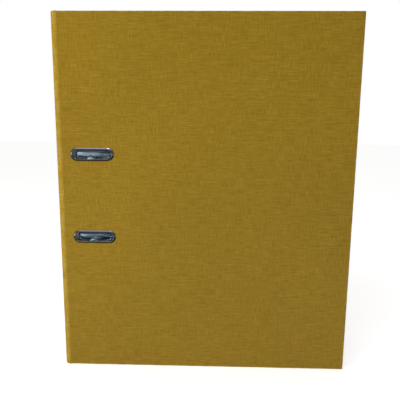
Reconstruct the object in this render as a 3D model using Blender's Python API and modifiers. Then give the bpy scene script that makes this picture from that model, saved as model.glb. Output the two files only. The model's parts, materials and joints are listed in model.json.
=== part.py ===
"""A lever arch file, standing upright and closed: +Z up, the front panel facing -Y and the spine at -X.

Inside the file a place is given as (across, above, up): across runs from the spine's outer face to the
fore edge, above runs from the back panel's inner face to the front panel, and up runs from the bottom edge.
"""

from math import copysign, cos, pi, radians, sin

import bmesh
import bpy
from mathutils import Matrix, Vector

# The case. A panel is board between a glued covering and a lining.
FILE_HEIGHT = 0.343
FILE_WIDTH = 0.283
FILE_DEPTH = 0.078
COVERING = 0.0004
BOARD = 0.0018
LINING = 0.0003
GLUE = 0.00015
PANEL = COVERING + BOARD + LINING + 2 * GLUE
INNER_DEPTH = FILE_DEPTH - 2 * PANEL
SHOULDER = 0.0065  # radius of the rounded paper hinge beside the spine
STRIP = 0.0007
TURN_IN = 0.007  # covering folded over a free edge
HINGE_LIP = 0.003  # covering left bare of lining beside a hinge
GAP = 0.0003

# Metalwork in the panels
PROUD = 0.0009  # how far eyelets, rings and rivet heads stand out of a panel
SLOT_LENGTH = 0.037
SLOT_WIDTH = 0.0084
EYELET_WALL = 0.0005
EYELET_BEAD = 0.0021
NOSE_RADIUS = 0.0045
RING_HOLE = 0.021
RING_HEIGHT = 0.075
LABEL_SIZE = (0.054, 0.19)
LABEL_HEIGHT = 0.215

# The mechanism on the back panel
ARCH_PITCH = 0.080
MECHANISM_UP = 0.1746  # height of the mechanism's middle
SLOT_ACROSS = 0.0352
ARCH_SPAN = 0.0306
WIRE = 0.0027  # radius
WIRE_ABOVE = 0.005
CREST_ABOVE = 0.0751
CROWN_RISE = 0.008
CROWN_SQUARENESS = 5.0  # 2 is an ellipse
POST_TOP = 0.050
POST_TAIL = 0.002
PLATE = 0.0012
PLATE_SIZE = (0.048, 0.164)
PLATE_ACROSS = 0.037
RIVET_SPREAD = (0.040, 0.148)
RIVET_SHANK = 0.002
RIVET_HEAD = 0.0045
BEARING_UP = 0.030
BEARING_LENGTH = 0.006
BEARING_SHEET = 0.001
WINDOW = ((0.0145, -0.001), (0.0385, 0.0262))  # (across, up) corners of the opening under the crank
EAR_SHEET = 0.0012
EAR_RADIUS = 0.0045
BEND_RADIUS = 0.0045
SPRING_GAUGE = 0.0006  # radius
SPRING_UP = (0.0135, 0.0245)
SPRING_TURNS = 6
CRANK_REACH = 0.0165
CRANK_ENDS = (-0.005, 0.007)
LEVER_ACROSS = 0.0334
LEVER_WIDTH = 0.012
LEVER_SHEET = 0.001
PIVOT_UP = -0.015
PIVOT_ABOVE = 0.0125
ROLLER_ARM = 0.016
ROLLER = 0.0044
PIN = 0.0015
LEVER_BEND_UP = 0.052
LEVER_RISE = radians(9)
GRIP_LENGTH = 0.030
BAR_SIZE = (0.015, 0.118)
BAR_ABOVE = (0.0045, 0.0085)
CATCH_ACROSS = 0.046
CATCH_PIVOT_ABOVE = 0.0112
CATCH_LENGTH = 0.0165

ARCH_ACROSS = SLOT_ACROSS - ARCH_SPAN / 2
POST_ACROSS = SLOT_ACROSS + ARCH_SPAN / 2
PLATE_FACE = 0.0015  # the plate's upper face
ORIGIN_ACROSS = (FILE_WIDTH - PROUD) / 2
ORIGIN_ABOVE = INNER_DEPTH / 2

PARTS = bpy.data.collections.new("lever_arch_file")
HELPERS = bpy.data.collections.new("helpers")

COLOURS = {
    "covering": ((0.31, 0.19, 0.03), 0.75, 0.0),
    "greyboard": ((0.36, 0.32, 0.27), 0.9, 0.0),
    "lining": ((0.75, 0.73, 0.68), 0.8, 0.0),
    "label": ((0.85, 0.83, 0.76), 0.7, 0.0),
    "chrome": ((0.75, 0.76, 0.78), 0.12, 1.0),
    "nickel": ((0.62, 0.62, 0.60), 0.25, 1.0),
    "black_plastic": ((0.02, 0.02, 0.022), 0.4, 0.0),
    "spring_steel": ((0.45, 0.45, 0.46), 0.3, 1.0),
}


def place(across, above, up):
    return Vector((across - ORIGIN_ACROSS, ORIGIN_ABOVE - above, up))


def material(kind):
    """The material of this kind, made the first time it is asked for."""
    if kind in bpy.data.materials:
        return bpy.data.materials[kind]
    made = bpy.data.materials.new(kind)
    made.use_nodes = True
    colour, roughness, metallic = COLOURS[kind]
    shader = made.node_tree.nodes["Principled BSDF"]
    shader.inputs["Base Color"].default_value = (*colour, 1)
    shader.inputs["Roughness"].default_value = roughness
    shader.inputs["Metallic"].default_value = metallic
    return made


def link(name, data, kind):
    """A new object: a part where kind names its material, and a hidden helper where it is None."""
    made = bpy.data.objects.new(name, data)
    if kind:
        data.materials.append(material(kind))
        PARTS.objects.link(made)
    else:
        made.hide_render = True
        made.display_type = "WIRE"
        HELPERS.objects.link(made)
    return made


def box(name, corner, opposite, kind=None):
    """A box between two opposite corners."""
    shape = bmesh.new()
    bmesh.ops.create_cube(shape, size=1)
    size = Vector([abs(a - b) for a, b in zip(corner, opposite)])
    shape.transform(Matrix.Diagonal((*size, 1)))
    mesh = bpy.data.meshes.new(name)
    shape.to_mesh(mesh)
    shape.free()
    made = link(name, mesh, kind)
    made.location = (corner + opposite) / 2
    return made


def turn_to(axis):
    """The rotation that takes local +Z to axis."""
    return Vector((0, 0, 1)).rotation_difference(Vector(axis)).to_euler()


def cylinder(name, centre, radius, length, axis, kind=None, segments=32):
    shape = bmesh.new()
    bmesh.ops.create_cone(
        shape, cap_ends=True, segments=segments, radius1=radius, radius2=radius, depth=length
    )
    mesh = bpy.data.meshes.new(name)
    shape.to_mesh(mesh)
    shape.free()
    mesh.shade_smooth()
    mesh.set_sharp_from_angle(angle=radians(40))
    made = link(name, mesh, kind)
    made.location = centre
    made.rotation_euler = turn_to(axis)
    return made


def turned(name, profile, centre, axis, kind, steps=28):
    """A profile of (radius, height), listed down its outer side, turned about axis through centre.

    A profile that starts and ends on the axis stays open there. Any other is closed into a ring.
    """
    mesh = bpy.data.meshes.new(name)
    edges = [(i, i + 1) for i in range(len(profile) - 1)]
    if profile[0][0] > 0:
        edges.append((len(profile) - 1, 0))
    mesh.from_pydata([(radius, 0, height) for radius, height in profile], edges, [])
    made = link(name, mesh, kind)
    screw = made.modifiers.new("Turn", "SCREW")
    screw.steps = screw.render_steps = steps
    screw.use_merge_vertices = True
    screw.merge_threshold = 0.00001
    screw.use_smooth_shade = True
    made.location = centre
    made.rotation_euler = turn_to(axis)
    return made


def outline_curve(name, points, depth, kind=None):
    """A flat outline in the local XY plane, extruded depth about that plane."""
    curve = bpy.data.curves.new(name, "CURVE")
    curve.dimensions = "2D"
    curve.fill_mode = "BOTH"
    curve.extrude = depth / 2
    spline = curve.splines.new("POLY")
    spline.points.add(len(points) - 1)
    for point, (x, y) in zip(spline.points, points):
        point.co = (x, y, 0, 1)
    spline.use_cyclic_u = True
    return link(name, curve, kind)


def wire(name, points, radius, kind):
    """A round wire along the points."""
    curve = bpy.data.curves.new(name, "CURVE")
    curve.dimensions = "3D"
    curve.bevel_depth = radius
    curve.bevel_resolution = 2
    curve.use_fill_caps = True
    spline = curve.splines.new("POLY")
    spline.points.add(len(points) - 1)
    for point, at in zip(spline.points, points):
        point.co = (*at, 1)
    return link(name, curve, kind)


def swept(name, path, section, kind, closed):
    """The closed section, as (outward, upward) points, swept along a flat clockwise path."""
    profile = bpy.data.curves.new(name + "_section", "CURVE")
    profile.dimensions = "2D"
    line = profile.splines.new("POLY")
    line.points.add(len(section) - 1)
    for point, (out, height) in zip(line.points, section):
        point.co = (-out, height, 0, 1)
    line.use_cyclic_u = True
    guide = link(name + "_section", profile, None)
    curve = bpy.data.curves.new(name, "CURVE")
    curve.dimensions = "2D"
    curve.fill_mode = "NONE"
    curve.bevel_mode = "OBJECT"
    curve.bevel_object = guide
    curve.use_fill_caps = not closed
    spline = curve.splines.new("POLY")
    spline.points.add(len(path) - 1)
    for point, (x, y) in zip(spline.points, path):
        point.co = (x, y, 0, 1)
    spline.use_cyclic_u = closed
    return link(name, curve, kind)


def as_mesh(curve_object, kind=None):
    """The curve object made a mesh object of the same name, welded and facing out, so that it can be cut."""
    name = curve_object.name
    bpy.context.view_layer.update()
    world = curve_object.matrix_world.copy()
    graph = bpy.context.evaluated_depsgraph_get()
    mesh = bpy.data.meshes.new_from_object(curve_object.evaluated_get(graph))
    shape = bmesh.new()
    shape.from_mesh(mesh)
    bmesh.ops.remove_doubles(shape, verts=shape.verts, dist=0.000002)
    bmesh.ops.recalc_face_normals(shape, faces=shape.faces)
    shape.to_mesh(mesh)
    shape.free()
    mesh.materials.clear()
    bpy.data.objects.remove(curve_object)
    made = link(name, mesh, kind)
    made.matrix_world = world
    return made


def combine(target, others, operation):
    for other in others:
        modifier = target.modifiers.new(other.name, "BOOLEAN")
        modifier.operation = operation
        modifier.object = other
    return target


def cut(target, *cutters):
    return combine(target, cutters, "DIFFERENCE")


def join(target, *pieces):
    return combine(target, pieces, "UNION")


def arc(centre, radius, start, end, steps):
    """Points along an arc, angles in degrees."""
    return [
        (
            centre[0] + radius * cos(radians(start + (end - start) * i / steps)),
            centre[1] + radius * sin(radians(start + (end - start) * i / steps)),
        )
        for i in range(steps + 1)
    ]


def stadium(length, width, steps=9):
    """An oblong with round ends, clockwise, long side along X."""
    radius = width / 2
    half = length / 2 - radius
    return arc((half, 0), radius, 90, -90, steps) + arc((-half, 0), radius, -90, -270, steps)


def rounded(points, radius, steps=5):
    """The route through the points with each corner rounded to the radius."""
    route = [points[0]]
    for before, corner, after in zip(points, points[1:], points[2:]):
        back = (before - corner).normalized()
        ahead = (after - corner).normalized()
        half_angle = back.angle(ahead) / 2
        reach = radius / abs(sin(half_angle) / cos(half_angle))
        centre = corner + (back + ahead).normalized() * radius / sin(half_angle)
        start = corner + back * reach - centre
        turn = start.rotation_difference(corner + ahead * reach - centre)
        for i in range(steps + 1):
            route.append(centre + Matrix.Rotation(turn.angle * i / steps, 3, turn.axis) @ start)
    route.append(points[-1])
    return route


# ---------------------------------------------------------------- the case


def back_face(across, deep, up):
    """A place on the back panel, deep counted from its outer face."""
    return place(across, deep - PANEL, up)


def front_face(across, deep, up):
    return place(across, INNER_DEPTH + PANEL - deep, up)


def spine_face(above, deep, up):
    return place(deep, above, up)


def panel(prefix, face, near, far, far_lip, holes):
    """A panel between near and far: its board, its covering with turned-in edges, and its lining."""
    height = FILE_HEIGHT
    inside = COVERING + GLUE
    lining_top = PANEL - LINING
    board = box(
        prefix + "_board",
        face(near + inside, inside, inside),
        face(far - inside, inside + BOARD, height - inside),
        "greyboard",
    )
    wrap = box(prefix + "_wrap", face(near, 0, 0), face(far, PANEL, height), "covering")
    pocket = box(
        prefix + "_pocket",
        face(near + COVERING, COVERING, COVERING),
        face(far - COVERING, lining_top, height - COVERING),
    )
    window = box(
        prefix + "_window",
        face(near + HINGE_LIP, inside, TURN_IN),
        face(far - far_lip, PANEL + BOARD, height - TURN_IN),
    )
    cut(wrap, pocket, window)
    lining = box(
        prefix + "_lining",
        face(near + HINGE_LIP + GAP, lining_top, TURN_IN + GAP),
        face(far - far_lip - GAP, PANEL, height - TURN_IN - GAP),
        "lining",
    )
    for sheet in (board, wrap, lining):
        cut(sheet, *holes)


def hinge_strip(name, centre, start):
    """A quarter of a paper tube about centre, between a cover panel and the spine."""
    trim = 3  # degrees left clear at each end, about the glued gap to the panels
    points = arc((0, 0), SHOULDER, start + trim, start + 90 - trim, 8)
    points += arc((0, 0), SHOULDER - STRIP, start + 90 - trim, start + trim, 8)
    strip = outline_curve(name, points, FILE_HEIGHT, "covering")
    strip.location = centre


def slot_cutter(name, centre):
    room = 2 * (EYELET_WALL + GAP)
    outline = stadium(SLOT_LENGTH + room, SLOT_WIDTH + room)
    cutter = as_mesh(outline_curve(name, outline, 4 * PANEL))
    cutter.location = centre
    cutter.rotation_euler = (radians(90), 0, 0)
    return cutter


def slot_eyelet(prefix, up):
    """A pressed slot eyelet with its half-round nose, clinched over a washer inside the panel."""
    centre = front_face(SLOT_ACROSS, 0, up)
    tail = -PANEL - 0.0015
    lip = tail + EYELET_WALL
    section = [
        (0, tail),
        (EYELET_WALL * 2.6, tail),
        (EYELET_WALL * 2.6, lip),
        (EYELET_WALL, lip),
        (EYELET_WALL, GLUE),
        (EYELET_BEAD, GLUE),
        (EYELET_BEAD - 0.0003, PROUD * 0.6),
        (EYELET_BEAD - 0.0010, PROUD),
        (EYELET_WALL + 0.0005, PROUD),
        (0, PROUD * 0.5),
    ]
    ring = swept(prefix + "_slot_eyelet", stadium(SLOT_LENGTH, SLOT_WIDTH), section, "chrome", True)
    ring.location = centre
    ring.rotation_euler = (radians(90), 0, 0)
    ring = as_mesh(ring, "chrome")
    nose_centre = centre - Vector((0, PROUD * 0.35, SLOT_WIDTH / 2 + EYELET_WALL / 2))
    nose = cylinder(prefix + "_nose", nose_centre, NOSE_RADIUS, PROUD * 0.6, (0, 1, 0))
    nose.data.transform(Matrix.Diagonal((1, 0.7, 1, 1)))
    keep = box(
        prefix + "_nose_below",
        nose_centre + Vector((-NOSE_RADIUS, -PROUD, 0)) * 2,
        nose_centre + Vector((NOSE_RADIUS, PROUD, -NOSE_RADIUS)) * 2,
    )
    cut(nose, keep)
    join(ring, nose)

    washer_deep = PANEL + GLUE + LINING
    hole = stadium(SLOT_LENGTH + 4 * EYELET_WALL * 0.9, SLOT_WIDTH + 4 * EYELET_WALL * 0.9)
    washer = as_mesh(
        outline_curve(
            prefix + "_slot_washer",
            stadium(SLOT_LENGTH + 2 * EYELET_BEAD, SLOT_WIDTH + 2 * EYELET_BEAD),
            2 * LINING,
            "nickel",
        ),
        "nickel",
    )
    opening = as_mesh(outline_curve(prefix + "_washer_hole", hole, 4 * LINING))
    for piece in (washer, opening):
        piece.location = front_face(SLOT_ACROSS, washer_deep, up)
        piece.rotation_euler = (radians(90), 0, 0)
    cut(washer, opening)


def finger_ring():
    """The ring that lines the finger hole in the spine, clinched over its washer."""
    radius = RING_HOLE / 2
    centre = spine_face(ORIGIN_ABOVE, 0, RING_HEIGHT)
    tail = -PANEL - 0.0015
    outward = (-1, 0, 0)
    ring = [
        (radius, PROUD * 0.5),
        (radius + 0.0010, PROUD),
        (radius + 0.0030, PROUD),
        (radius + 0.0042, PROUD * 0.6),
        (radius + 0.0045, GLUE),
        (radius + EYELET_WALL, GLUE),
        (radius + EYELET_WALL, tail + EYELET_WALL),
        (radius + EYELET_WALL * 3, tail + EYELET_WALL),
        (radius + EYELET_WALL * 3, tail),
        (radius, tail),
    ]
    turned("finger_ring", ring, centre, outward, "chrome", steps=40)
    inner = radius + EYELET_WALL * 1.8
    washer = [
        (inner, -PANEL - GLUE),
        (radius + 0.0045, -PANEL - GLUE),
        (radius + 0.0045, -PANEL - GLUE - 2 * LINING),
        (inner, -PANEL - GLUE - 2 * LINING),
    ]
    turned("finger_ring_washer", washer, centre, outward, "nickel", steps=40)


def case():
    near = SHOULDER + GAP
    slots = [
        slot_cutter(f"slot_{i}", front_face(SLOT_ACROSS, PANEL / 2, MECHANISM_UP + side * ARCH_PITCH / 2))
        for i, side in enumerate((-1, 1))
    ]
    finger_hole = cylinder(
        "finger_hole",
        spine_face(ORIGIN_ABOVE, PANEL / 2, RING_HEIGHT),
        RING_HOLE / 2 + EYELET_WALL + GAP,
        4 * PANEL,
        (1, 0, 0),
        segments=40,
    )
    rivet_holes = [
        cylinder(f"rivet_hole_{i}", at, RIVET_SHANK + GAP, 4 * PANEL, (0, 1, 0), segments=20)
        for i, at in enumerate(rivet_places())
    ]
    panel("front", front_face, near, FILE_WIDTH, TURN_IN, slots)
    panel("back", back_face, near, FILE_WIDTH, TURN_IN, rivet_holes)
    foot = near - PANEL
    panel("spine", spine_face, foot, INNER_DEPTH - foot, HINGE_LIP, [finger_hole])
    half = FILE_HEIGHT / 2
    hinge_strip("front_hinge_strip", place(SHOULDER, INNER_DEPTH + PANEL - SHOULDER, half), 180)
    hinge_strip("back_hinge_strip", place(SHOULDER, SHOULDER - PANEL, half), 90)
    for prefix, side in (("lower", -1), ("upper", 1)):
        slot_eyelet(prefix, MECHANISM_UP + side * ARCH_PITCH / 2)
    finger_ring()
    wide, high = LABEL_SIZE
    box(
        "spine_label",
        spine_face(ORIGIN_ABOVE - wide / 2, -GLUE, LABEL_HEIGHT - high / 2),
        spine_face(ORIGIN_ABOVE + wide / 2, -GLUE - LINING / 2, LABEL_HEIGHT + high / 2),
        "label",
    )


# ---------------------------------------------------------------- the mechanism


def rivet_places():
    across, up = RIVET_SPREAD
    return [
        place(PLATE_ACROSS + i * across / 2, 0, MECHANISM_UP + j * up / 2)
        for j in (-1, 1)
        for i in (-1, 1)
    ]


def rivets():
    """Rivets from outside the back panel, spread over the plate."""
    head = PANEL + GLUE
    top = PLATE_FACE + GLUE
    profile = [
        (0, top + 0.0012),
        (RIVET_HEAD * 0.45, top + 0.0010),
        (RIVET_HEAD * 0.75, top + 0.0005),
        (RIVET_HEAD * 0.8, top),
        (RIVET_SHANK, top),
        (RIVET_SHANK, -head),
        (RIVET_HEAD, -head),
        (RIVET_HEAD * 0.8, -PANEL - PROUD * 0.7),
        (RIVET_HEAD * 0.4, -PANEL - PROUD),
        (0, -PANEL - PROUD),
    ]
    for i, at in enumerate(rivet_places(), 1):
        turned(f"base_rivet_{i}", profile, at, (0, -1, 0), "nickel", steps=20)


def mechanism_box(name, low, high, kind=None):
    """A box from (across, above, up) corners, up counted from the mechanism's middle."""
    lift = Vector((0, 0, MECHANISM_UP))
    return box(name, place(*low) + lift, place(*high) + lift, kind)


def mechanism_place(across, above, up):
    return place(across, above, MECHANISM_UP + up)


def base_plate():
    wide, high = PLATE_SIZE
    corner = 0.004
    corners = [(1, 1, 90), (1, -1, 0), (-1, -1, -90), (-1, 1, -180)]
    outline = [
        point
        for x, y, start in corners
        for point in arc((x * (wide / 2 - corner), y * (high / 2 - corner)), corner, start, start - 90, 4)
    ]
    plate = outline_curve("base_plate", outline, PLATE, "nickel")
    plate.location = mechanism_place(PLATE_ACROSS, PLATE_FACE - PLATE / 2, 0)
    plate.rotation_euler = (radians(90), 0, 0)
    plate = as_mesh(plate, "nickel")

    root = PLATE_FACE - PLATE / 3
    bore = WIRE + GAP
    outer = bore + BEARING_SHEET
    for side in (-1, 1):
        up = side * BEARING_UP
        centre = mechanism_place(ARCH_ACROSS, WIRE_ABOVE, up)
        hoop = cylinder(f"bearing_hoop_{side}", centre, outer, BEARING_LENGTH, (0, 0, 1))
        foot = mechanism_box(
            f"bearing_foot_{side}",
            (ARCH_ACROSS - outer, root, up - BEARING_LENGTH / 2),
            (ARCH_ACROSS + outer, WIRE_ABOVE, up + BEARING_LENGTH / 2),
        )
        join(plate, hoop, foot)
    for side in (-1, 1):
        middle = LEVER_ACROSS + side * (LEVER_WIDTH / 2 + GAP + EAR_SHEET / 2)
        top = mechanism_place(middle, PIVOT_ABOVE, PIVOT_UP)
        cheek = cylinder(f"ear_top_{side}", top, EAR_RADIUS, EAR_SHEET, (1, 0, 0))
        leg = mechanism_box(
            f"ear_leg_{side}",
            (middle - EAR_SHEET / 2, root, PIVOT_UP - EAR_RADIUS),
            (middle + EAR_SHEET / 2, PIVOT_ABOVE, PIVOT_UP + EAR_RADIUS),
        )
        join(plate, cheek, leg)
    for side in (-1, 1):
        up = side * BEARING_UP
        centre = mechanism_place(ARCH_ACROSS, WIRE_ABOVE, up)
        tunnel = cylinder(f"bearing_bore_{side}", centre, bore, 2 * BEARING_LENGTH, (0, 0, 1))
        room = mechanism_box(
            f"bearing_room_{side}",
            (ARCH_ACROSS - bore, PLATE_FACE, up - BEARING_LENGTH),
            (ARCH_ACROSS + bore, WIRE_ABOVE, up + BEARING_LENGTH),
        )
        foot = mechanism_place(POST_ACROSS, 0, side * ARCH_PITCH / 2)
        foot_hole = cylinder(f"post_hole_{side}", foot, POST_TAIL + GAP, 0.01, (0, 1, 0))
        cut(plate, tunnel, room, foot_hole)
    pivot = mechanism_place(LEVER_ACROSS, PIVOT_ABOVE, PIVOT_UP)
    pin_hole = cylinder("ear_hole", pivot, PIN + GAP, 0.03, (1, 0, 0), segments=20)
    (near, low), (far, top) = WINDOW
    window = mechanism_box("plate_window", (near, -PLATE, low), (far, PLATE_FACE + PLATE, top))
    holes = [
        cylinder(f"plate_rivet_hole_{i}", at, RIVET_SHANK + GAP, 0.01, (0, 1, 0), segments=20)
        for i, at in enumerate(rivet_places())
    ]
    cut(plate, pin_hole, window, *holes)


def posts():
    """Fixed posts, each with a collar on the plate, a tail through it and a cupped mouth."""
    foot = PLATE_FACE + GLUE
    profile = [
        (0, POST_TOP - 0.0012),
        (WIRE - 0.0008, POST_TOP),
        (WIRE, POST_TOP - 0.0004),
        (WIRE, foot + 0.0016),
        (WIRE + 0.0016, foot + 0.0012),
        (WIRE + 0.0016, foot),
        (POST_TAIL, foot),
        (POST_TAIL, GLUE),
        (0, GLUE),
    ]
    for name, side in (("lower_post", -1), ("upper_post", 1)):
        centre = mechanism_place(POST_ACROSS, 0, side * ARCH_PITCH / 2)
        turned(name, profile, centre, (0, -1, 0), "nickel", 20)


def crown(up):
    """The arch's crown from the post side to the hinge side, a squarish half ellipse."""
    base = CREST_ABOVE - WIRE - CROWN_RISE
    points = []
    for i in range(17):
        angle = pi * i / 16
        reach = copysign(abs(cos(angle)) ** (2 / CROWN_SQUARENESS), cos(angle)) * ARCH_SPAN / 2
        rise = sin(angle) ** (2 / CROWN_SQUARENESS) * CROWN_RISE
        points.append(mechanism_place(SLOT_ACROSS + reach, base + rise, up))
    return points


def arch_wire():
    """One bent wire: an arch at each end, and the crank between them that the lever's roller holds down."""
    half = ARCH_PITCH / 2
    low, high = CRANK_ENDS
    bends = rounded(
        [
            mechanism_place(ARCH_ACROSS, WIRE_ABOVE + 0.03, half),
            mechanism_place(ARCH_ACROSS, WIRE_ABOVE, half),
            mechanism_place(ARCH_ACROSS, WIRE_ABOVE, high),
            mechanism_place(ARCH_ACROSS + CRANK_REACH, WIRE_ABOVE, high),
            mechanism_place(ARCH_ACROSS + CRANK_REACH, WIRE_ABOVE, low),
            mechanism_place(ARCH_ACROSS, WIRE_ABOVE, low),
            mechanism_place(ARCH_ACROSS, WIRE_ABOVE, -half),
            mechanism_place(ARCH_ACROSS, WIRE_ABOVE + 0.03, -half),
        ],
        BEND_RADIUS,
    )
    tips = [mechanism_place(POST_ACROSS, POST_TOP + GAP, side * half) for side in (1, -1)]
    route = [tips[0], *crown(half), *bends, *reversed(crown(-half)), tips[1]]
    wire("arch_wire", route, WIRE, "chrome")


def arch_spring():
    """A torsion coil round the wire, with one leg against the plate and the other under the crank."""
    radius = WIRE + GAP + 2 * SPRING_GAUGE
    low, high = SPRING_UP
    per_turn = 10
    count = SPRING_TURNS * per_turn
    centre = mechanism_place(ARCH_ACROSS, WIRE_ABOVE, 0)
    coil = []
    for i in range(count + 1):
        angle = -pi / 2 + 2 * pi * i / per_turn
        rise = low + (high - low) * i / count
        coil.append(centre + Vector((radius * cos(angle), -radius * sin(angle), rise)))
    under = WIRE_ABOVE - radius
    hook_across = ARCH_ACROSS + CRANK_REACH - 0.006
    hook = [mechanism_place(hook_across, under, low - 0.0065), mechanism_place(hook_across, under, low)]
    rest = [mechanism_place(ARCH_ACROSS - 0.0042, under, high)]
    wire("arch_spring", [*hook, *coil, *rest], SPRING_GAUGE, "spring_steel")


def lever():
    """The sheet-steel lever: an upturned channel on a pin between the plate's ears, bent up at its end."""
    half = LEVER_WIDTH / 2
    depth = 0.0094
    sheet = LEVER_SHEET
    drop = depth - 0.0055  # how far the flanges reach below the pivot
    section = [  # (towards the front panel, across)
        (-drop, -half),
        (depth - drop, -half),
        (depth - drop, half),
        (-drop, half),
        (-drop, half - sheet),
        (depth - drop - sheet, half - sheet),
        (depth - drop - sheet, -half + sheet),
        (-drop, -half + sheet),
    ]
    bend = LEVER_BEND_UP - PIVOT_UP
    reach = 0.046
    path = [
        (-0.0055, 0),
        (bend - 0.004, 0),
        (bend, 0.00015),
        (bend + 0.004, 0.0007),
        (bend + reach * cos(LEVER_RISE), reach * sin(LEVER_RISE)),
    ]
    channel = swept("lever", path, section, "nickel", False)
    # Local X runs up the file, local Y runs towards the front panel and local Z across it.
    channel.matrix_world = lever_frame()
    channel = as_mesh(channel, "nickel")
    pivot = mechanism_place(LEVER_ACROSS, PIVOT_ABOVE, PIVOT_UP)
    axle = pivot + Vector((0, 0, ROLLER_ARM))
    for name, at in (("lever_pivot_hole", pivot), ("lever_axle_hole", axle)):
        cut(channel, cylinder(name, at, PIN + GAP, 0.03, (1, 0, 0), segments=20))

    headed_pin("lever_pivot_pin", pivot, half + GAP + 0.0012 + GAP)
    headed_pin("roller_axle", axle, half + GLUE)
    width = LEVER_WIDTH / 2 - sheet - GAP
    profile = [(ROLLER, width), (ROLLER, -width), (PIN + GAP / 2, -width), (PIN + GAP / 2, width)]
    turned("lever_roller", profile, axle, (1, 0, 0), "nickel", steps=24)
    lever_grip(bend, reach)


def lever_frame():
    pivot = mechanism_place(LEVER_ACROSS, PIVOT_ABOVE, PIVOT_UP)
    turn = Matrix(((0, 0, 1), (0, -1, 0), (1, 0, 0))).to_4x4()
    return Matrix.Translation(pivot) @ turn


def lever_grip(bend, reach):
    """A moulded grip pushed over the lever's bent end."""
    wall = 0.0012
    half = LEVER_WIDTH / 2 + GAP
    tilt = lever_frame() @ Matrix.Translation((bend, 0, 0)) @ Matrix.Rotation(LEVER_RISE, 4, "Z")
    low, high = -0.0039 - GAP, 0.0055 + GAP
    start = reach - GRIP_LENGTH
    grip = box(
        "lever_grip",
        Vector((start, low - wall, -half - wall)),
        Vector((reach + GAP + 0.005, high + wall, half + wall)),
        "black_plastic",
    )
    pocket = box("grip_pocket", Vector((start - 0.01, low, -half)), Vector((reach + GAP, high, half)))
    for piece in (grip, pocket):
        piece.matrix_world = tilt @ Matrix.Translation(piece.location)
    bevel = grip.modifiers.new("Soft edges", "BEVEL")
    bevel.width = 0.001
    bevel.segments = 3
    cut(grip, pocket)


def headed_pin(name, at, half):
    """A pin across the file with a head at both ends."""
    head = 0.0008
    profile = [
        (0, half + head),
        (PIN * 1.3, half + head),
        (PIN * 1.6, half + head / 2),
        (PIN * 1.6, half),
        (PIN, half),
        (PIN, -half),
        (PIN * 1.6, -half),
        (PIN * 1.6, -half - head / 2),
        (PIN * 1.3, -half - head),
        (0, -half - head),
    ]
    turned(name, profile, at, (1, 0, 0), "nickel", steps=16)


def compressor():
    """The bar that slides on the posts, and the thumb catch that locks it."""
    wide, high = BAR_SIZE
    low, top = BAR_ABOVE
    sheet = 0.001
    bar = mechanism_box(
        "compressor_bar",
        (POST_ACROSS - wide / 2, low, -high / 2),
        (POST_ACROSS + wide / 2, top, high / 2),
        "nickel",
    )
    hollow = mechanism_box(
        "bar_hollow",
        (POST_ACROSS - wide / 2 + sheet, low - sheet, -high / 2 + sheet),
        (POST_ACROSS + wide / 2 - sheet, top - sheet, high / 2 - sheet),
    )
    post_holes = [
        cylinder(
            f"bar_hole_{side}",
            mechanism_place(POST_ACROSS, top, side * ARCH_PITCH / 2),
            WIRE + GAP + 0.0001,
            0.01,
            (0, 1, 0),
        )
        for side in (-1, 1)
    ]
    ears = []
    for side in (-1, 1):
        near, far = side * 0.0085, side * 0.0095
        ears.append(
            mechanism_box(
                f"bar_ear_{side}",
                (CATCH_ACROSS - 0.0024, top - sheet / 2, near),
                (CATCH_ACROSS + 0.0024, CATCH_PIVOT_ABOVE + 0.002, far),
            )
        )
    pivot = mechanism_place(CATCH_ACROSS, CATCH_PIVOT_ABOVE, 0)
    pin_hole = cylinder("bar_ear_hole", pivot, 0.0013, 0.03, (0, 0, 1), segments=16)
    cut(join(cut(bar, hollow), *ears), pin_hole, *post_holes)

    cylinder("compressor_catch_pin", pivot, 0.001, 0.0196, (0, 0, 1), "nickel", segments=16)
    barrel = cylinder("compressor_catch", pivot, 0.0023, 0.0162, (0, 0, 1), "nickel", segments=24)
    leaf = mechanism_box(
        "catch_leaf",
        (CATCH_ACROSS, CATCH_PIVOT_ABOVE, -0.007),
        (CATCH_ACROSS + CATCH_LENGTH, CATCH_PIVOT_ABOVE + 0.001, 0.007),
    )
    thumb = mechanism_box(
        "catch_thumb",
        (CATCH_ACROSS + CATCH_LENGTH - 0.001, CATCH_PIVOT_ABOVE, -0.007),
        (CATCH_ACROSS + CATCH_LENGTH, CATCH_PIVOT_ABOVE + 0.004, 0.007),
    )
    bore = cylinder("catch_bore", pivot, 0.0013, 0.03, (0, 0, 1), segments=16)
    cut(join(barrel, leaf, thumb), bore)


def main():
    for old in list(bpy.data.objects):
        bpy.data.objects.remove(old)
    for collection in (PARTS, HELPERS):
        bpy.context.scene.collection.children.link(collection)
    case()
    base_plate()
    rivets()
    posts()
    arch_wire()
    arch_spring()
    lever()
    compressor()


main()
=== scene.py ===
"""The looks of a lever arch file: linen paper over board, chrome eyelets and a nickel mechanism.

Places inside the file are given as (across, above, up). Across runs from the spine's outer face
to the fore edge, above from the back panel's inner face to the front panel, and up is the height.
"""

import json
from math import copysign, cos, pi, radians, sin

import bmesh
import bpy
from mathutils import Matrix, Vector

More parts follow.
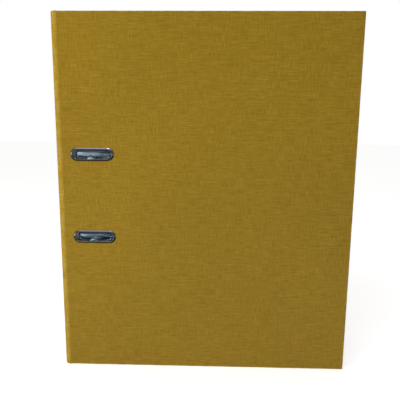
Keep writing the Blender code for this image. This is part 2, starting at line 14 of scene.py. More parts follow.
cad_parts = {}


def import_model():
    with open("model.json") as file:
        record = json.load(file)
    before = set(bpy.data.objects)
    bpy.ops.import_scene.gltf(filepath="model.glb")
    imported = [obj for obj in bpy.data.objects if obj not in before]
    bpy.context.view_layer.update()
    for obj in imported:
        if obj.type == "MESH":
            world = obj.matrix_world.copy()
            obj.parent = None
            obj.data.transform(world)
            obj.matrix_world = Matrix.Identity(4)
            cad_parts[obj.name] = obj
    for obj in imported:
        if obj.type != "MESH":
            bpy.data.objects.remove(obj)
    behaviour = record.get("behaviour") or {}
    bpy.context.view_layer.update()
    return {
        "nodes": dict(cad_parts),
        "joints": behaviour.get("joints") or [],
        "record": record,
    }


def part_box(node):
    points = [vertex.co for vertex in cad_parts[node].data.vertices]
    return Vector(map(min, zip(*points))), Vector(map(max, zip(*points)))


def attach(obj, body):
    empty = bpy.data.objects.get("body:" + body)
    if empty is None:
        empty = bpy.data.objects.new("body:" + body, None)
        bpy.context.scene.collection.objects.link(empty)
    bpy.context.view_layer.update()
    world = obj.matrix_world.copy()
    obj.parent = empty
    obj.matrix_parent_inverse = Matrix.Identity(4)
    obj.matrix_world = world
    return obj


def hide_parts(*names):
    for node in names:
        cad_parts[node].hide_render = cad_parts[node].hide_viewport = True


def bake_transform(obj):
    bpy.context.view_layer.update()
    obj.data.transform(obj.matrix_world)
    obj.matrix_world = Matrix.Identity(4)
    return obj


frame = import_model()



def middle_of(node):
    low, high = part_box(node)
    return (low + high) / 2


# Places read from the frame
JOINTS = {joint["name"]: joint for joint in frame["joints"]}
SPINE_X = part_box("spine_wrap")[0].x
FRONT_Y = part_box("front_wrap")[0].y
BACK_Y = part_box("back_wrap")[1].y
FLOOR_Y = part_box("back_lining")[0].y  # the back panel's inner face
FORE_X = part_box("front_wrap")[1].x
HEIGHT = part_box("front_wrap")[1].z
PANEL = BACK_Y - FLOOR_Y
MID_Z = (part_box("upper_post")[0].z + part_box("lower_post")[1].z) / 2
ARCH_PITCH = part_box("upper_post")[0].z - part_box("lower_post")[0].z

ARCH_X, ARCH_Y = JOINTS["arch_hinge"]["pos_m"][:2]
POST_X = middle_of("upper_post").x

# Sizes that the frame's boxes don't give
SHOULDER = 0.0065
STRIP = 0.0007  # thickness of a paper hinge
SLOT_LENGTH = 0.037
SLOT_WIDTH = 0.0084
BEAD = 0.0021  # width of an eyelet's rolled rim
WALL = 0.0005  # sheet of the eyelets and the finger ring
FINGER_HOLE = 0.0105  # radius
WIRE = 0.0027  # radius
PIN = 0.0015  # radius
PIN_HOLE = PIN + 0.0003
SHANK_HOLE = 0.0023  # for the rivets and the posts
CROWN_RISE = 0.008
SQUARENESS = 5.0
CREST_LIFT = 0.0007  # the crests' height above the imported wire's, level with the eyelets' rims
CRANK_REACH = 0.0165
PLATE = 0.0012
PLATE_TOP = 0.0015  # above the back panel's inner face
TOUCH = 0.00001  # places closer than this are the same

AMBIENT = 0.46  # strength of the surroundings' light
FLOOR_GLOW = 0.58

# The camera, fitted to the cover's corners and the two eyelets
CAMERA_AT = Vector((0.00685, FRONT_Y - 0.4095, 0.2412))
CAMERA_PITCH = radians(9.57)
CAMERA_YAW = radians(1.455)
CAMERA_ROLL = radians(0.452)
CAMERA_LENS = 36 * 435.3 / 400


def place(across, above, up):
    return Vector((SPINE_X + across, FLOOR_Y - above, up))


# ---------------------------------------------------------------- materials


class Nodes:
    """The nodes of a world or a material."""

    def __init__(self, owner):
        owner.use_nodes = True
        self.nodes = owner.node_tree.nodes
        self.links = owner.node_tree.links

    def add(self, kind, inputs=None, **settings):
        """A node of this kind. inputs maps a socket's name or number to a value or an output."""
        node = self.nodes.new("ShaderNode" + kind)
        for name, value in settings.items():
            setattr(node, name, value)
        for name, value in (inputs or {}).items():
            if isinstance(value, bpy.types.NodeSocket):
                self.links.new(value, node.inputs[name])
            else:
                node.inputs[name].default_value = value
        return node

    def math(self, operation, a, b=0.0, c=0.0):
        return self.add("Math", {0: a, 1: b, 2: c}, operation=operation).outputs[0]

    def place(self):
        return self.add("TexCoord").outputs["Object"]

    def along(self, place, direction):
        """How far the place lies along a direction."""
        node = self.add("VectorMath", {0: place, 1: direction}, operation="DOT_PRODUCT")
        return node.outputs["Value"]

    def share(self, a, b, part):
        """Two values added, the first counting for this part of the whole."""
        return self.math("ADD", self.math("MULTIPLY", a, part), self.math("MULTIPLY", b, 1 - part))

    def noise(self, place, stretch, detail=2.0, roughness=0.5):
        """Noise from 0 to 1 with this many cycles a metre along each axis."""
        mapped = self.add("Mapping", {"Vector": place, "Scale": stretch}).outputs[0]
        values = {"Vector": mapped, "Scale": 1.0, "Detail": detail, "Roughness": roughness}
        return self.add("TexNoise", values).outputs[0]

    def spread(self, value, low, high, to_low=0.0, to_high=1.0):
        values = {0: value, 1: low, 2: high, 3: to_low, 4: to_high}
        return self.add("MapRange", values).outputs[0]

    def colours(self, value, stops):
        """A colour ramp of (place, (r, g, b)) stops."""
        ramp = self.add("ValToRGB", {0: value})
        points = ramp.color_ramp.elements
        while len(points) < len(stops):
            points.new(0.5)
        for point, (at, colour) in zip(points, stops):
            point.position = at
            point.color = (*colour, 1)
        return ramp.outputs[0]

    def mix(self, amount, a, b, blend="MIX"):
        node = self.add("Mix", data_type="RGBA", blend_type=blend)
        for socket, value in ((node.inputs[0], amount), (node.inputs[6], a), (node.inputs[7], b)):
            if isinstance(value, bpy.types.NodeSocket):
                self.links.new(value, socket)
            else:
                socket.default_value = value
        return node.outputs[2]

    def bump(self, height, strength, distance, below=None):
        values = {"Height": height, "Strength": strength, "Distance": distance}
        if below is not None:
            values["Normal"] = below
        return self.add("Bump", values).outputs[0]


class Tree(Nodes):
    """A material and the nodes that feed its Principled shader."""

    def __init__(self, name, **shader_values):
        self.material = bpy.data.materials.new(name)
        super().__init__(self.material)
        self.shader = self.nodes["Principled BSDF"]
        for socket, value in shader_values.items():
            self.shader.inputs[socket.replace("_", " ")].default_value = value

    def feed(self, **outputs):
        for socket, output in outputs.items():
            self.links.new(output, self.shader.inputs[socket.replace("_", " ")])
        return self.material


def linen_paper(name, painted_light=1.0, rub_and_sheen=0.0):
    """Mustard covering paper, embossed with a linen weave and worn pale along its outer edges, where
    the paling at the ends is also a painted highlight. A colour factor above one paints the paper
    lighter as painted light, and the all-over paling is partly worn paper and partly painted sheen.
    """
    tree = Tree(name, Specular_IOR_Level=0.28)
    at = tree.place()
    across = tree.along(at, (1, 1, 0))
    up = tree.along(at, (0, 0, 1))
    sheet = tree.add("CombineXYZ", {0: across, 1: up}).outputs[0]
    wander = tree.noise(sheet, (60, 60, 1), 2)
    strength = tree.noise(sheet, (28, 34, 1), 2)
    cycles = 2 * pi / 0.00085
    drift = tree.math("MULTIPLY", wander, 9.0)

    def weave(over, slubs, bands, band_part, thread_part):
        """The threads that lie side by side over a direction, with slubs and bands along them."""
        band = tree.math("SUBTRACT", tree.noise(sheet, bands, 1), 0.5)
        slub = tree.math("MULTIPLY_ADD", band, band_part, tree.noise(sheet, slubs, 2, 0.6))
        thread = tree.math("SINE", tree.math("MULTIPLY_ADD", over, cycles, drift))
        return tree.math("MULTIPLY_ADD", thread, thread_part, slub)

    weft = weave(up, (110, 1300, 1), (45, 430, 1), 0.40, 0.16)
    warp = weave(across, (1300, 120, 1), (430, 45, 1), 0.25, 0.14)
    share = tree.spread(strength, 0.35, 0.65, 0.40, 0.70)
    threads = tree.add("Mix", {0: share, 2: warp, 3: weft}).outputs[0]
    tone = tree.spread(threads, 0.28, 0.74)
    low, middle, high = (0.204, 0.121, 0.0010), (0.284, 0.172, 0.0035), (0.376, 0.235, 0.0170)
    stops = [(0.0, low), (0.5, middle), (1.0, high)]
    # Every colour is scaled by the given factor; above one this is painted light.
    base = tree.colours(tone, [(stop, tuple(c * painted_light for c in colour)) for stop, colour in stops])
    patch = tree.noise(at, (9, 9, 9), 3)
    patch = tree.spread(patch, 0.3, 0.7)
    uneven = tree.colours(patch, [(0, (0.94, 0.93, 0.88)), (1, (1.0, 1.0, 1.0))])
    colour = tree.mix(1.0, base, uneven, "MULTIPLY")

    # Paler in patches within 1.6 mm of the ends and the fore edge: worn paper, and at the ends also
    # a painted highlight.
    from_end = tree.math("MINIMUM", up, tree.math("SUBTRACT", HEIGHT, up))
    from_fore = tree.math("SUBTRACT", FORE_X, tree.along(at, (1, 0, 0)))
    from_edge = tree.math("MINIMUM", from_end, from_fore)
    patches = tree.spread(tree.noise(at, (220, 220, 150), 3), 0.42, 0.62)
    paling = tree.math("MULTIPLY", tree.spread(from_edge, 0.0, 0.0016, 0.75, 0.0), patches)
    # The paling in patches all over is partly worn paper and partly painted sheen.
    paling = tree.math("MAXIMUM", paling, tree.math("MULTIPLY", patches, rub_and_sheen))
    colour = tree.mix(paling, colour, (0.50, 0.37, 0.125, 1))
    emboss = tree.bump(threads, 0.6, 0.0005)
    wave = tree.noise(at, (14, 14, 11), 2)
    surface = tree.bump(wave, 0.25, 0.004, emboss)
    rough = tree.spread(tone, 0.0, 1.0, 0.68, 0.52)
    return tree.feed(Base_Color=colour, Roughness=rough, Normal=surface)


def plain_paper(name, low, high):
    """Smooth paper with fine fibres."""
    tree = Tree(name, Roughness=0.8, Specular_IOR_Level=0.3)
    at = tree.place()
    fibres = tree.noise(at, (900, 900, 420), 4, 0.65)
    cloud = tree.noise(at, (25, 25, 25), 3)
    tone = tree.share(fibres, cloud, 0.6)
    colour = tree.colours(tree.spread(tone, 0.3, 0.7), [(0, low), (1, high)])
    return tree.feed(Base_Color=colour, Normal=tree.bump(fibres, 0.18, 0.0002))


def label_paper():
    """The spine label: off-white paper printed with a thin frame and ruled lines."""
    tree = Tree("label_paper", Roughness=0.7, Specular_IOR_Level=0.3)
    low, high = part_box("spine_label")
    at = tree.place()
    up = tree.math("SUBTRACT", tree.along(at, (0, 0, 1)), (low.z + high.z) / 2)
    wide = tree.math("SUBTRACT", tree.along(at, (0, 1, 0)), (low.y + high.y) / 2)
    from_side = tree.math("SUBTRACT", (high.y - low.y) / 2, tree.math("ABSOLUTE", wide))
    from_end = tree.math("SUBTRACT", (high.z - low.z) / 2, tree.math("ABSOLUTE", up))
    inset = tree.math("MINIMUM", from_side, from_end)
    frame_line = tree.math("COMPARE", inset, 0.0030, 0.00025)
    spacing = 0.0145
    line = tree.math("FRACT", tree.math("DIVIDE", up, spacing))
    rule = tree.math("ABSOLUTE", tree.math("SUBTRACT", line, 0.5))
    ruled = tree.math("LESS_THAN", rule, 0.00018 / spacing)
    field = tree.math("LESS_THAN", tree.math("ABSOLUTE", up), 0.062)
    field = tree.math("MULTIPLY", field, tree.math("GREATER_THAN", inset, 0.0065))
    ink = tree.math("MAXIMUM", frame_line, tree.math("MULTIPLY", ruled, field))
    header = tree.math("GREATER_THAN", up, 0.0725)
    band = tree.math("MULTIPLY", header, tree.math("GREATER_THAN", inset, 0.0030))
    fibres = tree.noise(at, (700, 700, 400), 3)
    paper = tree.colours(fibres, [(0.3, (0.70, 0.68, 0.60)), (0.7, (0.80, 0.78, 0.71))])
    printed = tree.mix(band, paper, (0.16, 0.16, 0.17, 1))
    printed = tree.mix(ink, printed, (0.06, 0.06, 0.07, 1))
    return tree.feed(Base_Color=printed, Normal=tree.bump(fibres, 0.15, 0.0002))


def greyboard():
    """Grey pulp board, as it shows at a cut edge."""
    tree = Tree("greyboard", Roughness=0.92, Specular_IOR_Level=0.2)
    at = tree.place()
    pulp = tree.noise(at, (600, 600, 600), 5, 0.7)
    layers = tree.noise(at, (120, 2600, 60), 2)
    tone = tree.share(pulp, layers, 0.6)
    colour = tree.colours(tone, [(0.3, (0.20, 0.18, 0.15)), (0.7, (0.37, 0.34, 0.29))])
    return tree.feed(Base_Color=colour, Normal=tree.bump(pulp, 0.4, 0.0004))


def metal(name, colour, roughness, streaks, scuffs=0.06, metallic=1.0, wavy=0.0):
    """Plated steel with fine drawing lines, faint handling marks and a wavy polish."""
    tree = Tree(name, Metallic=metallic)
    at = tree.place()
    lines = tree.noise(at, streaks, 3)
    marks = tree.noise(at, (70, 70, 50), 3, 0.5)
    polished, scuffed = max(0.02, roughness - scuffs), roughness + scuffs
    rough = tree.spread(tree.share(lines, marks, 0.5), 0.3, 0.75, polished, scuffed)
    dull = tuple(c * 0.94 for c in colour)
    tone = tree.colours(tree.spread(marks, 0.3, 0.75), [(0, dull), (1, colour)])
    surface = tree.bump(lines, 0.04, 0.00005)
    if wavy:
        surface = tree.bump(tree.noise(at, (80, 80, 190), 1), wavy, 0.0008, surface)
    return tree.feed(Base_Color=tone, Roughness=rough, Normal=surface)


def moulded_plastic():
    tree = Tree("black_plastic", Specular_IOR_Level=0.5)
    at = tree.place()
    grain = tree.noise(at, (1600, 1600, 1600), 3)
    paling = tree.noise(at, (90, 90, 90), 3)
    colour = tree.colours(paling, [(0.35, (0.012, 0.012, 0.013)), (0.75, (0.030, 0.030, 0.031))])
    rough = tree.spread(grain, 0.3, 0.7, 0.36, 0.52)
    return tree.feed(Base_Color=colour, Roughness=rough, Normal=tree.bump(grain, 0.25, 0.00015))


LINEN = linen_paper("linen_paper")
# The shoulder's copy is painted 1.22 times lighter, painted light for its side that faces the lamp,
# and paled all over, partly worn paper and partly painted sheen.
SHOULDER_LINEN_PAINTED_LIGHT = linen_paper("linen_paper_shoulder_painted_light", 1.22, 0.20)
LINING = plain_paper("lining_paper", (0.56, 0.55, 0.51), (0.68, 0.67, 0.63))
LABEL = label_paper()
BOARD = greyboard()
CHROME = metal("chrome_plate", (0.80, 0.81, 0.83), 0.07, (300, 300, 300), 0.03)
WIRE_CHROME = metal("wire_chrome_plate", (0.80, 0.82, 0.84), 0.08, (300, 300, 300), 0.03, wavy=0.42)
NICKEL = metal("nickel_plate", (0.74, 0.72, 0.69), 0.34, (60, 60, 900), 0.03, 0.6)
SPRING_STEEL = metal("spring_steel", (0.46, 0.46, 0.47), 0.3, (500, 500, 500), metallic=0.8)
PLASTIC = moulded_plastic()
NODE_MATERIALS = {
    "linen_paper": LINEN,
    "greyboard": BOARD,
    "lining_paper": LINING,
    "label_paper": LABEL,
    "chrome_steel": CHROME,
    "nickel_steel": NICKEL,
    "spring_steel": SPRING_STEEL,
    "black_plastic": PLASTIC,
}


def dress_frame():
    """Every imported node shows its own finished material."""
    for subpart in frame["record"]["subparts"]:
        node = frame["nodes"][subpart["node"]]
        node.data.materials.clear()
        node.data.materials.append(NODE_MATERIALS[subpart["material_slot"]])


# ---------------------------------------------------------------- mesh tools


def finish_mesh(name, shape, material, smooth=35):
    bmesh.ops.recalc_face_normals(shape, faces=shape.faces)
    mesh = bpy.data.meshes.new(name)
    shape.to_mesh(mesh)
    shape.free()
    mesh.shade_smooth()
    mesh.set_sharp_from_angle(angle=radians(smooth))
    piece = bpy.data.objects.new(name, mesh)
    bpy.context.scene.collection.objects.link(piece)
    mesh.materials.append(material)
    return piece


def loft(name, rings, material, closed=False, smooth=35):
    """A skin through rings of points, capped at both ends unless the rings themselves close up."""
    shape = bmesh.new()
    rows = [[shape.verts.new(point) for point in ring] for ring in rings]
    pairs = list(zip(rows, rows[1:]))
    if closed:
        pairs.append((rows[-1], rows[0]))
    for a, b in pairs:
        for i in range(len(a)):
            j = (i + 1) % len(a)
            shape.faces.new((a[i], a[j], b[j], b[i]))
    if not closed:
        shape.faces.new(rows[0][::-1])
        shape.faces.new(rows[-1])
    return finish_mesh(name, shape, material, smooth)


def arc(centre, radius, start, end, steps):
    turns = [radians(start + (end - start) * i / steps) for i in range(steps + 1)]
    return [(centre[0] + radius * cos(turn), centre[1] + radius * sin(turn)) for turn in turns]


def round_hole(radius, steps, centre=(0, 0)):
    return arc(centre, radius, 0, 360, steps)[:-1]


def signed_power(value, power):
    """The value raised to a power, with its sign kept."""
    return copysign(abs(value) ** power, value)


def corners(x0, y0, x1, y1):
    return [(x0, y0), (x1, y0), (x1, y1), (x0, y1)]


def filleted(points, radius, steps=4):
    """A closed flat outline with every corner rounded."""
    outline = []
    count = len(points)
    for i, corner in enumerate(points):
        corner = Vector(corner)
        before, after = Vector(points[i - 1]), Vector(points[(i + 1) % count])
        back, ahead = before - corner, after - corner
        reach = min(radius, back.length * 0.45, ahead.length * 0.45)
        start, end = corner + back.normalized() * reach, corner + ahead.normalized() * reach
        for k in range(steps + 1):
            t = k / steps
            outline.append(start.lerp(corner, t).lerp(corner.lerp(end, t), t))
    return outline


def spun(outline, centre, axis, steps):
    """An outline of (radius, height) at each step of one turn about an axis."""
    axis = Vector(axis).normalized()
    side = axis.orthogonal().normalized()
    other = axis.cross(side)
    rings = []
    for i in range(steps):
        angle = 2 * pi * i / steps
        out = side * cos(angle) + other * sin(angle)
        rings.append([centre + out * radius + axis * height for radius, height in outline])
    return rings


def turned(name, outline, centre, axis, material, steps=48):
    """A closed outline turned about an axis."""
    return loft(name, spun(outline, centre, axis, steps), material, closed=True)


def turned_solid(name, profile, centre, axis, material, steps=48):
    """A profile from its top to its bottom, turned and capped at both ends."""
    return loft(name, list(zip(*spun(profile, centre, axis, steps))), material)


def stadium(length, width, steps=16):
    """Places and outward directions round an oblong with round ends."""
    radius = width / 2
    half = length / 2 - radius
    path = []
    for end, start in ((half, 90), (-half, -90)):
        for x, y in arc((0, 0), 1, start, start - 180, steps):
            path.append((Vector((end + radius * x, radius * y)), Vector((x, y))))
    return path


def box_mesh(name, low, high, material, edge=0.0, segments=3, sharp=()):
    """A box with rounded edges, except on the sharp faces, each a (direction number, place)."""
    shape = bmesh.new()
    bmesh.ops.create_cube(shape, size=1)
    size = high - low
    shape.transform(Matrix.Translation((low + high) / 2) @ Matrix.Diagonal((*size, 1)))
    if edge:
        soft = []
        for line in shape.edges:
            ends = [corner.co for corner in line.verts]
            if not any(all(abs(end[i] - at) < TOUCH for end in ends) for i, at in sharp):
                soft.append(line)
        rounding = {"offset": edge, "segments": segments, "profile": 0.5, "affect": "EDGES"}
        bmesh.ops.bevel(shape, geom=soft, **rounding)
    return finish_mesh(name, shape, material)


def apply_modifiers(piece):
    """The piece's modifiers made part of its mesh."""
    graph = bpy.context.evaluated_depsgraph_get()
    mesh = bpy.data.meshes.new_from_object(piece.evaluated_get(graph))
    piece.modifiers.clear()
    piece.data = mesh
    return piece


def boolean(piece, operation, *others):
    """The piece cut by, or joined with, the others, which are then removed."""
    for other in others:
        modifier = piece.modifiers.new(other.name, "BOOLEAN")
        modifier.operation = operation
        modifier.object = other
    apply_modifiers(piece)
    for other in others:
        bpy.data.objects.remove(other)
    piece.data.shade_smooth()
    piece.data.set_sharp_from_angle(angle=radians(35))
    return piece


def curve_piece(name, material, kind="3D"):
    curve = bpy.data.curves.new(name, "CURVE")
    curve.dimensions = kind
    curve.materials.append(material)
    piece = bpy.data.objects.new(name, curve)
    bpy.context.scene.collection.objects.link(piece)
    return piece, curve


def add_spline(curve, points, cyclic=False):
    spline = curve.splines.new("POLY")
    spline.points.add(len(points) - 1)
    for point, at in zip(spline.points, points):
        point.co = (*at, 1) if len(at) == 3 else (*at, 0, 1)
    spline.use_cyclic_u = cyclic
    spline.use_smooth = True


def to_mesh_piece(piece, smooth=35):
    """A curve made a mesh with its caps joined on, its faces out and its place in its vertices."""
    name = piece.name
    bpy.context.view_layer.update()
    graph = bpy.context.evaluated_depsgraph_get()
    mesh = bpy.data.meshes.new_from_object(piece.evaluated_get(graph))
    mesh.transform(piece.matrix_world)
    materials = list(piece.data.materials)
    bpy.data.objects.remove(piece)
    shape = bmesh.new()
    shape.from_mesh(mesh)
    bmesh.ops.remove_doubles(shape, verts=shape.verts, dist=0.000002)
    bpy.data.meshes.remove(mesh)
    return finish_mesh(name, shape, materials[0], smooth)


def wire(name, points, radius, material):
    """A round wire through the points, with full caps."""
    piece, curve = curve_piece(name, material)
    curve.bevel_depth = radius
    curve.bevel_resolution = 6
    curve.use_fill_caps = True
    add_spline(curve, points)
    return to_mesh_piece(piece, 50)


def plate(name, outlines, thickness, edge, frame_matrix, material):
    """A flat plate with rounded edges: the first outline is its rim, the others are holes."""
    piece, curve = curve_piece(name, material, "2D")
    curve.fill_mode = "BOTH"
    curve.extrude = thickness / 2 - edge
    curve.bevel_depth = edge
    curve.bevel_resolution = 2
    curve.offset = -edge
    for outline in outlines:
        add_spline(curve, outline, True)
    piece.matrix_world = frame_matrix
    return to_mesh_piece(piece)


def fit(piece, body, slot, *nodes):
    """A piece's body and the nodes that it stands for; the slot, its finish, is not used."""
    if nodes:
        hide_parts(*nodes)
    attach(piece, body)


# ---------------------------------------------------------------- the case


def slot_centres():
    middle = middle_of("upper_slot_eyelet").x
    return {
        prefix: Vector((middle, FRONT_Y, MID_Z + side * ARCH_PITCH / 2))
        for prefix, side in (("lower", -1), ("upper", 1))
    }


def oblong(name, centre, length, width, depth):
    """An oblong plug through the front panel."""
    rings = []
    for y in (-depth, depth):
        rings.append([centre + Vector((at.x, y, at.y)) for at, _ in stadium(length, width, 20)])
    return loft(name, rings, BOARD)


def disc(name, centre, axis, radius, depth):
    return turned_solid(name, [(radius, depth), (radius, -depth)], centre, axis, BOARD)


def covering(node, body, holes, hinged):
    """A panel's paper: softly folded at its free edges, flat at its hinges, turned in all round."""
    low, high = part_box(node)
    skin = box_mesh(node + "_skin", low, high, LINEN, 0.0008, 4, hinged)
    board_low, board_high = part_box(node.replace("wrap", "board"))
    lining_low, lining_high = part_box(node.replace("wrap", "lining"))
    slack = Vector((0.0001,) * 3)
    pocket = box_mesh("pocket", board_low - slack, board_high + slack, BOARD)
    window_low, window_high = lining_low - slack, lining_high + slack
    thin = min(range(3), key=lambda i: lining_high[i] - lining_low[i])
    window_low[thin] -= PANEL / 2
    window_high[thin] += PANEL / 2
    inward = lining_low[thin] + lining_high[thin] > low[thin] + high[thin]
    if inward:
        window_low[thin] = board_low[thin]
    else:
        window_high[thin] = board_high[thin]
    window = box_mesh("window", window_low, window_high, BOARD)
    boolean(skin, "DIFFERENCE", pocket, window, *holes)
    fit(skin, body, "linen_paper", node)


def covers():
    slots = []
    cuts = (("slot_", 2 * (WALL + 0.0003), 3 * PANEL), ("groove_", 2 * BEAD + 0.0005, 0.00035))
    for name, room, depth in cuts:
        for prefix, centre in slot_centres().items():
            size = SLOT_LENGTH + room, SLOT_WIDTH + room
            slots.append(oblong(name + prefix, centre, *size, depth))
    covering("front_wrap", "front_cover", slots, [(0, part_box("front_wrap")[0].x)])
    hole = disc("finger_hole", middle_of("finger_ring"), (1, 0, 0), 0.0113, 3 * PANEL)
    spine_low, spine_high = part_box("spine_wrap")
    covering("spine_wrap", "spine", [hole], [(1, spine_low.y), (1, spine_high.y)])
    rivet_holes = []
    for i in range(1, 5):
        middle = middle_of(f"base_rivet_{i}")
        rivet_holes.append(disc(f"rivet_hole_{i}", middle, (0, 1, 0), SHANK_HOLE, 3 * PANEL))
    covering("back_wrap", "back_cover", rivet_holes, [(0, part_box("back_wrap")[0].x)])


def hinge_strip(node, centre, start):
    """The rounded paper shoulder, creased where it meets each panel."""
    low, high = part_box(node)
    lip = 0.00026
    crease = 0.00026

    def half_round(radius, sink):
        """The shoulder's outline, sunk at its two creases and carried straight on to the panels."""
        ends = []
        for turn, onward in ((start, -1), (start + 90, 1)):
            out = Vector((cos(radians(turn)), sin(radians(turn))))
            on = Vector((-out.y, out.x)) * onward
            ends.append((out * (radius - sink), out * radius + on * lip))
        middle = [Vector(at) for at in arc((0, 0), radius, start + 4, start + 86, 16)]
        return [ends[0][1], ends[0][0], *middle, *ends[1]]

    section = half_round(SHOULDER, crease) + half_round(SHOULDER - STRIP, 0)[::-1]
    levels = 28
    rows = []
    for i in range(levels + 1):
        up = low.z + (high.z - low.z) * i / levels
        rows.append([centre + Vector((at.x, at.y, up)) for at in section])
    # The shoulder's paper is the linen's copy painted lighter and paler: painted light and painted
    # sheen, partly worn paper.
    strip = loft(node + "_paper", rows, SHOULDER_LINEN_PAINTED_LIGHT, smooth=80)
    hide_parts(node)
    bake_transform(strip)


def hinges():
    front = Vector((SPINE_X + SHOULDER, FRONT_Y + SHOULDER, 0))
    back = Vector((SPINE_X + SHOULDER, BACK_Y - SHOULDER, 0))
    hinge_strip("front_hinge_strip", front, 180)
    hinge_strip("back_hinge_strip", back, 90)


def bead_section(peak=0.00055, rise=0.0010, width=BEAD):
    """The rolled rim as (outward, out of the panel): steep inside, a long slope outside."""
    inner = [(peak * (1 - cos(radians(a))), rise * sin(radians(a))) for a in range(0, 90, 15)]
    count = 12
    outer = []
    for i in range(count):
        outer.append((peak + (width - peak) * i / count, rise * (1 - (i / count) ** 1.3)))
    return inner + outer + [(width, -0.0001), (width, -0.0003)]


def slot_eyelets():
    """Pressed slot eyelets: a rolled bead, a straight wall, a flared foot and a half-round nose."""
    tail = -PANEL - 0.0015
    section = bead_section()
    foot = WALL * 2.6
    section += [(WALL, -0.0003), (WALL, tail + WALL), (foot, tail + WALL), (foot, tail), (0, tail)]
    for prefix, centre in slot_centres().items():
        rings = []
        for at, out in stadium(SLOT_LENGTH, SLOT_WIDTH, 22):
            ring = []
            for outward, height in section:
                flat = at + out * outward
                ring.append(centre + Vector((flat.x, -height, flat.y)))
            rings.append(ring)
        eyelet = loft(prefix + "_eyelet", rings, CHROME, closed=True, smooth=60)
        nose(prefix, centre)
        fit(eyelet, "front_cover", "chrome_steel", prefix + "_slot_eyelet")


def nose(prefix, centre):
    """The half-round tongue in the middle of an eyelet's lower side, domed like the bead."""
    wide, reach, rise = 0.0045, 0.0044, 0.0009
    foot = centre + Vector((0, -0.0008, -SLOT_WIDTH / 2 - 0.0005))
    rings = []
    for level in range(9):
        t = level / 8
        size = cos(t * pi / 2) ** 0.7 if t < 1 else 0.02
        up = -rise * sin(t * pi / 2)
        outline = arc((0, 0), size, 0, 180, 24)
        rings.append([foot + Vector((x * wide, up, y * reach)) for x, y in outline])
    tongue = loft(prefix + "_eyelet_nose", rings, CHROME, smooth=60)
    fit(tongue, "front_cover", "chrome_steel")


def finger_ring():
    middle = middle_of("finger_ring")
    centre = Vector((SPINE_X, middle.y, middle.z))
    radius = FINGER_HOLE
    tail = -PANEL - 0.0015
    outline = [(radius + x, y) for x, y in bead_section(0.0014, 0.0012, 0.0044)]
    wall, foot = radius + WALL, radius + 0.0015
    outline += [(wall, -0.0003), (wall, tail + WALL), (foot, tail + WALL)]
    outline += [(foot, tail), (radius, tail)]
    ring = turned("finger_ring_rim", outline, centre, (-1, 0, 0), CHROME, 72)
    fit(ring, "spine", "chrome_steel", "finger_ring")


# ---------------------------------------------------------------- the mechanism


def joint_at(name):
    return Vector(JOINTS[name]["pos_m"])


def ahead_at(points, i):
    """The way that a line of points runs at one of them."""
    return (points[min(i + 1, len(points) - 1)] - points[max(i - 1, 0)]).normalized()


def tube(name, points, half_sizes, material, around=32):
    """A rod through the points. Each size is a half width across the bend, one in it, squareness."""
    rings = []
    first = (points[1] - points[0]).normalized()
    side = Vector((0, 0, 1)) if abs(first.z) < 0.9 else Vector((0, 1, 0))
    for i, point in enumerate(points):
        ahead = ahead_at(points, i)
        side = (side - ahead * side.dot(ahead)).normalized()
        other = ahead.cross(side)
        wide, thick, square = half_sizes[i]
        ring = []
        for x, y in arc((0, 0), 1, 0, 360, around)[:-1]:
            x, y = signed_power(x, 2 / square), signed_power(y, 2 / square)
            ring.append(point + side * x * wide + other * y * thick)
        rings.append(ring)
    return loft(name, rings, material, smooth=60)


def ribbon(name, path, sections, side, material, smooth=50):
    """A skin along a flat path; each section's points lie (towards the path's left, along side)."""
    rings = []
    for i, point in enumerate(path):
        out = side.cross(ahead_at(path, i))
        rings.append([point + out * x + side * y for x, y in sections[i]])
    return loft(name, rings, material, smooth=smooth)


def evenly(points, spacing):
    """The same line with its points this far apart."""
    even = [points[0]]
    left = spacing
    for a, b in zip(points, points[1:]):
        length = (b - a).length
        while left <= length:
            a = a.lerp(b, left / length)
            length = (b - a).length
            even.append(a)
            left = spacing
        left -= length
    if (even[-1] - points[-1]).length > spacing / 2:
        even.append(points[-1])
    else:
        even[-1] = points[-1]
    return even


def crown(up, steps=200):
    """The arch's crown from the post side to the hinge side, a squarish half ellipse."""
    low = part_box("arch_wire")[0]
    half = (POST_X - ARCH_X) / 2
    middle = (POST_X + ARCH_X) / 2
    base = low.y - CREST_LIFT + WIRE + CROWN_RISE
    points = []
    for i in range(steps + 1):
        angle = pi * i / steps
        reach = signed_power(cos(angle), 2 / SQUARENESS) * half
        above = abs(sin(angle)) ** (2 / SQUARENESS) * CROWN_RISE
        points.append(Vector((middle + reach, base - above, up)))
    return points


def rounded_route(points, radius, steps=8):
    route = [points[0]]
    for before, corner, after in zip(points, points[1:], points[2:]):
        back = (before - corner).normalized()
        ahead = (after - corner).normalized()
        start, end = corner + back * radius, corner + ahead * radius
        centre = start + end - corner
        arm, other = start - centre, end - centre
        for i in range(steps + 1):
            angle = pi / 2 * i / steps
            route.append(centre + arm * cos(angle) + other * sin(angle))
    route.append(points[-1])
    return route


